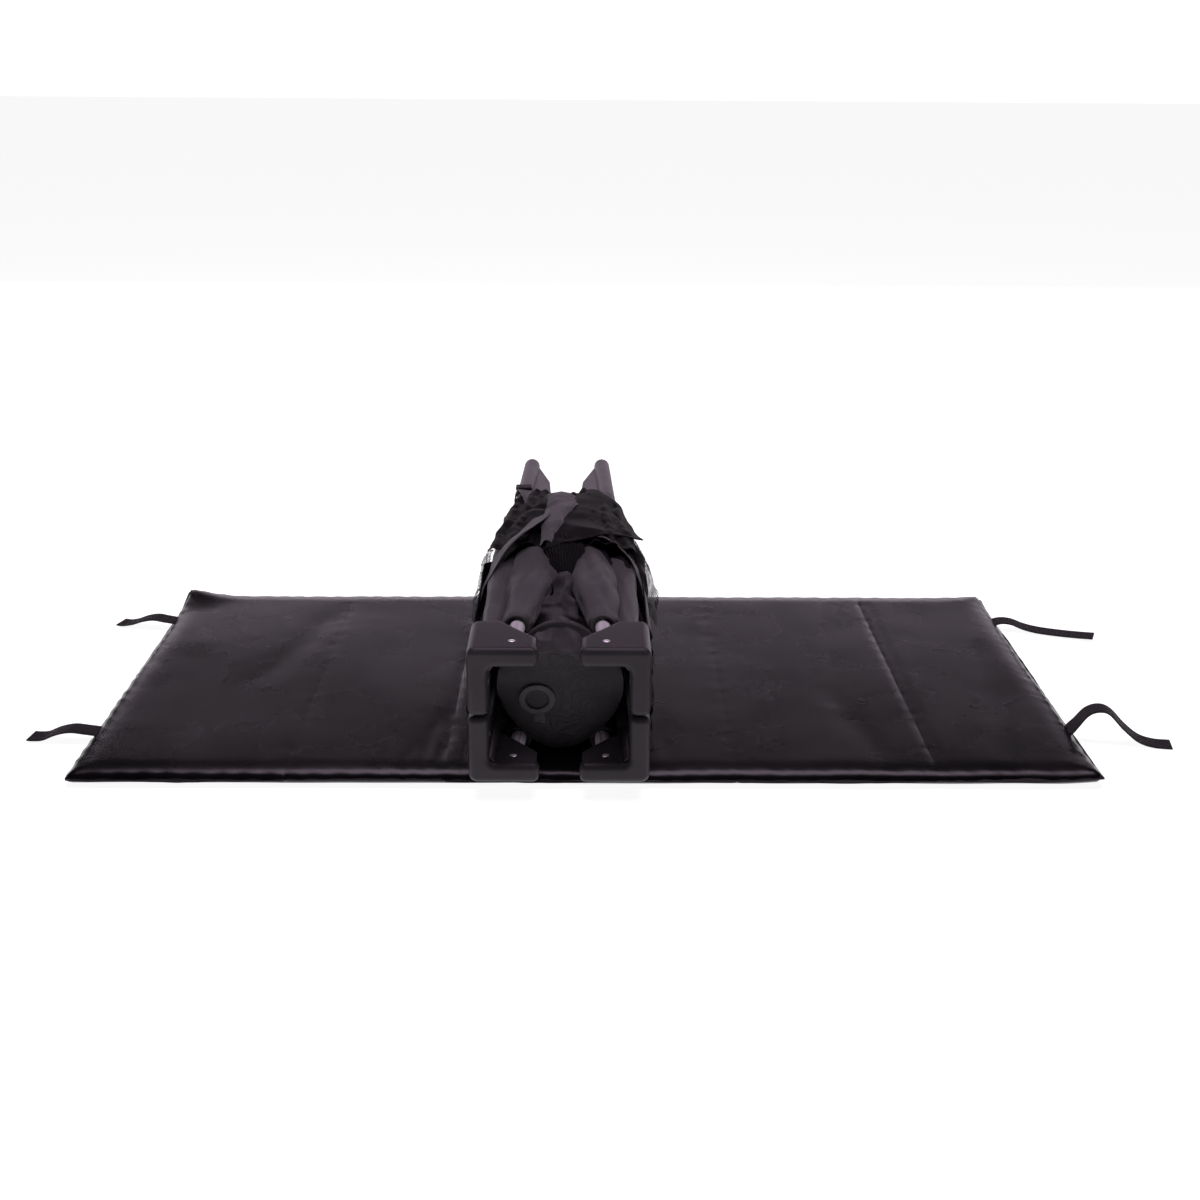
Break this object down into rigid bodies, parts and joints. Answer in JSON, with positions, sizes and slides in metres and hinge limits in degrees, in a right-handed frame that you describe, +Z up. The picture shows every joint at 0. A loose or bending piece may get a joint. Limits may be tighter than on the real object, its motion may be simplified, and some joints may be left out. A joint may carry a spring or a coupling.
{
  "type": "folding travel cot",
  "caption": "Folding travel cot folded to a square bundle, lying on its side on its opened five-panel padded mattress with tie straps.",
  "frame": {"origin": "middle of the mattress's flat underside, on the floor", "axes": "+X along the opened mattress, +Y from the folded cot's top corners towards its feet, +Z up"},
  "size_m": [1.425, 0.805, 0.1988],
  "materials": {
    "casting": "moulded black plastic with a faint grain",
    "tube_dark": "dark grey powder coat",
    "tube_light": "light grey powder coat",
    "foot": "moulded grey plastic",
    "rivet": "bright flush rivet heads",
    "latch": "moulded black plastic",
    "button": "moulded grey plastic",
    "hub_plastic": "moulded black plastic",
    "wall_fabric": "dark woven polyester with mesh",
    "sleeve_fabric": "padded dark woven polyester",
    "floor_fabric": "dark woven polyester",
    "webbing": "dark hook-and-loop webbing",
    "mattress_fabric": "black satin-finish polyester"
  },
  "bodies": {
    "mattress_centre": {"pad_centre": "mattress_fabric"},
    "left_inner": {"pad_left_inner": "mattress_fabric"},
    "left_outer": {"pad_left_outer": "mattress_fabric"},
    "right_inner": {"pad_right_inner": "mattress_fabric"},
    "right_outer": {"pad_right_outer": "mattress_fabric"},
    "tie_rear_left": {"strap_rear_left": "webbing"},
    "tie_front_left": {"strap_front_left": "webbing"},
    "tie_rear_right": {"strap_rear_right": "webbing"},
    "tie_front_right": {"strap_front_right": "webbing"},
    "corner_lower_left": {"corner_casting_lower_left": "casting", "leg_lower_left": "tube_dark", "foot_lower_left": "foot", "long_rivet_lower_left": "rivet", "short_rivet_lower_left": "rivet", "wall_bundle_lower_left": "wall_fabric"},
    "long_half_lower_left": {"long_rail_lower_left": "tube_light", "long_sleeve_lower_left": "sleeve_fabric"},
    "short_half_lower_left": {"short_rail_lower_left": "tube_light"},
    "arm_lower_left": {"floor_arm_lower_left": "tube_dark"},
    "corner_lower_right": {"corner_casting_lower_right": "casting", "leg_lower_right": "tube_dark", "foot_lower_right": "foot", "long_rivet_lower_right": "rivet", "short_rivet_lower_right": "rivet", "wall_bundle_lower_right": "wall_fabric"},
    "long_half_lower_right": {"long_rail_lower_right": "tube_light", "long_sleeve_lower_right": "sleeve_fabric"},
    "short_half_lower_right": {"short_rail_lower_right": "tube_light"},
    "arm_lower_right": {"floor_arm_lower_right": "tube_dark"},
    "corner_upper_right": {"corner_casting_upper_right": "casting", "leg_upper_right": "tube_dark", "foot_upper_right": "foot", "long_rivet_upper_right": "rivet", "short_rivet_upper_right": "rivet", "wall_bundle_upper_right": "wall_fabric"},
    "long_half_upper_right": {"long_rail_upper_right": "tube_light", "long_sleeve_upper_right": "sleeve_fabric"},
    "short_half_upper_right": {"short_rail_upper_right": "tube_light"},
    "arm_upper_right": {"floor_arm_upper_right": "tube_dark"},
    "corner_upper_left": {"corner_casting_upper_left": "casting", "leg_upper_left": "tube_dark", "foot_upper_left": "foot", "long_rivet_upper_left": "rivet", "short_rivet_upper_left": "rivet", "wall_bundle_upper_left": "wall_fabric"},
    "long_half_upper_left": {"long_rail_upper_left": "tube_light", "long_sleeve_upper_left": "sleeve_fabric"},
    "short_half_upper_left": {"short_rail_upper_left": "tube_light"},
    "arm_upper_left": {"floor_arm_upper_left": "tube_dark"},
    "latch_long_bottom": {"rail_latch_long_bottom": "latch"},
    "button_long_bottom": {"latch_button_long_bottom": "button"},
    "latch_long_top": {"rail_latch_long_top": "latch"},
    "button_long_top": {"latch_button_long_top": "button"},
    "latch_short_left": {"rail_latch_short_left": "latch"},
    "button_short_left": {"latch_button_short_left": "button"},
    "latch_short_right": {"rail_latch_short_right": "latch"},
    "button_short_right": {"latch_button_short_right": "button"},
    "hub": {"floor_hub": "hub_plastic", "hub_cover": "floor_fabric", "pull_loop": "webbing"}
  },
  "joints": [
    {"name": "fold_left_inner", "type": "hinge", "parent": "mattress_centre", "child": "left_inner", "pos_m": [-0.165, 0, 0.02], "axis": [0, -1, 0], "range_deg": [-90, 0]},
    {"name": "fold_left_outer", "type": "hinge", "parent": "left_inner", "child": "left_outer", "pos_m": [-0.35, 0, 0.02], "axis": [0, -1, 0], "range_deg": [-90, 0]},
    {"name": "fold_right_inner", "type": "hinge", "parent": "mattress_centre", "child": "right_inner", "pos_m": [0.175, 0, 0.02], "axis": [0, 1, 0], "range_deg": [-90, 0]},
    {"name": "fold_right_outer", "type": "hinge", "parent": "right_inner", "child": "right_outer", "pos_m": [0.41, 0, 0.02], "axis": [0, 1, 0], "range_deg": [-90, 0]},
    {"name": "lift_strap_rear_left", "type": "hinge", "parent": "left_outer", "child": "tie_rear_left", "pos_m": [-0.6, 0.2, 0.02], "axis": [0, 1, 0], "range_deg": [0, 120]},
    {"name": "lift_strap_front_left", "type": "hinge", "parent": "left_outer", "child": "tie_front_left", "pos_m": [-0.6, -0.178, 0.02], "axis": [0, 1, 0], "range_deg": [0, 120]},
    {"name": "lift_strap_rear_right", "type": "hinge", "parent": "right_outer", "child": "tie_rear_right", "pos_m": [0.6, 0.2, 0.02], "axis": [0, -1, 0], "range_deg": [0, 120]},
    {"name": "lift_strap_front_right", "type": "hinge", "parent": "right_outer", "child": "tie_front_right", "pos_m": [0.6, -0.176, 0.02], "axis": [0, -1, 0], "range_deg": [0, 120]},
    {"name": "lift_cot", "type": "slide", "parent": "mattress_centre", "child": "corner_lower_right", "axis": [0, 0, 1], "range_m": [0, 0.3]},
    {"name": "open_frame", "type": "hinge", "parent": "corner_lower_right", "child": "long_half_lower_right", "pos_m": [0.022, -0.305, 0.0318], "axis": [0, 0, 1], "range_deg": [0, 87.5]},
    {"name": "long_bottom_latch_turn", "type": "hinge", "parent": "long_half_lower_right", "child": "latch_long_bottom", "pos_m": [-0.00234, 0.25247, 0.0318], "axis": [0, 0, -1], "range_deg": [0, 87.5]},
    {"name": "long_bottom_far_half", "type": "hinge", "parent": "latch_long_bottom", "child": "long_half_lower_left", "pos_m": [-0.05966, 0.25247, 0.0318], "axis": [0, 0, -1], "range_deg": [0, 87.5]},
    {"name": "corner_lower_left_turn", "type": "hinge", "parent": "long_half_lower_left", "child": "corner_lower_left", "pos_m": [-0.084, -0.305, 0.0318], "axis": [0, 0, 1], "range_deg": [0, 87.5]},
    {"name": "short_right_lower_half", "type": "hinge", "parent": "corner_lower_right", "child": "short_half_lower_right", "pos_m": [0.0605, -0.305, 0.0703], "axis": [1, 0, 0], "range_deg": [0, 87.5]},
    {"name": "short_right_latch_turn", "type": "hinge", "parent": "short_half_lower_right", "child": "latch_short_right", "pos_m": [0.0605, -0.04025, 0.08186], "axis": [-1, 0, 0], "range_deg": [0, 87.5]},
    {"name": "short_right_upper_half", "type": "hinge", "parent": "latch_short_right", "child": "short_half_upper_right", "pos_m": [0.0605, -0.04025, 0.12374], "axis": [-1, 0, 0], "range_deg": [0, 87.5]},
    {"name": "corner_upper_right_turn", "type": "hinge", "parent": "short_half_upper_right", "child": "corner_upper_right", "pos_m": [0.0605, -0.305, 0.1353], "axis": [1, 0, 0], "range_deg": [0, 87.5]},
    {"name": "short_left_lower_half", "type": "hinge", "parent": "corner_lower_left", "child": "short_half_lower_left", "pos_m": [-0.1225, -0.305, 0.0703], "axis": [1, 0, 0], "range_deg": [0, 87.5]},
    {"name": "short_left_latch_turn", "type": "hinge", "parent": "short_half_lower_left", "child": "latch_short_left", "pos_m": [-0.1225, -0.04025, 0.08186], "axis": [-1, 0, 0], "range_deg": [0, 87.5]},
    {"name": "short_left_upper_half", "type": "hinge", "parent": "latch_short_left", "child": "short_half_upper_left", "pos_m": [-0.1225, -0.04025, 0.12374], "axis": [-1, 0, 0], "range_deg": [0, 87.5]},
    {"name": "corner_upper_left_turn", "type": "hinge", "parent": "short_half_upper_left", "child": "corner_upper_left", "pos_m": [-0.1225, -0.305, 0.1353], "axis": [1, 0, 0], "range_deg": [0, 87.5]},
    {"name": "long_top_left_half", "type": "hinge", "parent": "corner_upper_left", "child": "long_half_upper_left", "pos_m": [-0.084, -0.305, 0.1738], "axis": [0, 0, -1], "range_deg": [0, 87.5]},
    {"name": "long_top_latch_turn", "type": "hinge", "parent": "long_half_upper_left", "child": "latch_long_top", "pos_m": [-0.05966, 0.25247, 0.1738], "axis": [0, 0, 1], "range_deg": [0, 87.5]},
    {"name": "long_top_right_half", "type": "hinge", "parent": "corner_upper_right", "child": "long_half_upper_right", "pos_m": [0.022, -0.305, 0.1738], "axis": [0, 0, 1], "range_deg": [0, 87.5]},
    {"name": "arm_lower_left_turn", "type": "hinge", "parent": "corner_lower_left", "child": "arm_lower_left", "pos_m": [-0.09147, 0.412, 0.07408], "axis": [-0.429, 0, 0.9033], "range_deg": [0, 87.5]},
    {"name": "arm_lower_right_turn", "type": "hinge", "parent": "corner_lower_right", "child": "arm_lower_right", "pos_m": [0.02947, 0.412, 0.07408], "axis": [-0.429, 0, -0.9033], "range_deg": [0, 87.5]},
    {"name": "arm_upper_right_turn", "type": "hinge", "parent": "corner_upper_right", "child": "arm_upper_right", "pos_m": [0.02947, 0.412, 0.13152], "axis": [0.429, 0, -0.9033], "range_deg": [0, 87.5]},
    {"name": "arm_upper_left_turn", "type": "hinge", "parent": "corner_upper_left", "child": "arm_upper_left", "pos_m": [-0.09147, 0.412, 0.13152], "axis": [0.429, 0, 0.9033], "range_deg": [0, 87.5]},
    {"name": "hub_turn", "type": "hinge", "parent": "arm_lower_right", "child": "hub", "pos_m": [0.00513, -0.20514, 0.08564], "axis": [0.429, 0, 0.9033], "range_deg": [0, 87.5]},
    {"name": "press_long_bottom", "type": "slide", "parent": "latch_long_bottom", "child": "button_long_bottom", "axis": [0, -1, 0], "range_m": [0, 0.004], "stiffness_N_per_m": 400},
    {"name": "press_long_top", "type": "slide", "parent": "latch_long_top", "child": "button_long_top", "axis": [0, -1, 0], "range_m": [0, 0.004], "stiffness_N_per_m": 400},
    {"name": "press_short_left", "type": "slide", "parent": "latch_short_left", "child": "button_short_left", "axis": [0, -1, 0], "range_m": [0, 0.004], "stiffness_N_per_m": 400},
    {"name": "press_short_right", "type": "slide", "parent": "latch_short_right", "child": "button_short_right", "axis": [0, -1, 0], "range_m": [0, 0.004], "stiffness_N_per_m": 400}
  ],
  "couplings": [
    {"joint": "long_bottom_latch_turn", "follows": "open_frame", "ratio": 1},
    {"joint": "long_bottom_far_half", "follows": "open_frame", "ratio": 1},
    {"joint": "corner_lower_left_turn", "follows": "open_frame", "ratio": 1},
    {"joint": "short_right_lower_half", "follows": "open_frame", "ratio": 1},
    {"joint": "short_right_latch_turn", "follows": "open_frame", "ratio": 1},
    {"joint": "short_right_upper_half", "follows": "open_frame", "ratio": 1},
    {"joint": "corner_upper_right_turn", "follows": "open_frame", "ratio": 1},
    {"joint": "short_left_lower_half", "follows": "open_frame", "ratio": 1},
    {"joint": "short_left_latch_turn", "follows": "open_frame", "ratio": 1},
    {"joint": "short_left_upper_half", "follows": "open_frame", "ratio": 1},
    {"joint": "corner_upper_left_turn", "follows": "open_frame", "ratio": 1},
    {"joint": "long_top_left_half", "follows": "open_frame", "ratio": 1},
    {"joint": "long_top_latch_turn", "follows": "open_frame", "ratio": 1},
    {"joint": "long_top_right_half", "follows": "open_frame", "ratio": 1},
    {"joint": "arm_lower_left_turn", "follows": "open_frame", "ratio": 1},
    {"joint": "arm_lower_right_turn", "follows": "open_frame", "ratio": 1},
    {"joint": "arm_upper_right_turn", "follows": "open_frame", "ratio": 1},
    {"joint": "arm_upper_left_turn", "follows": "open_frame", "ratio": 1},
    {"joint": "hub_turn", "follows": "open_frame", "ratio": 1}
  ]
}
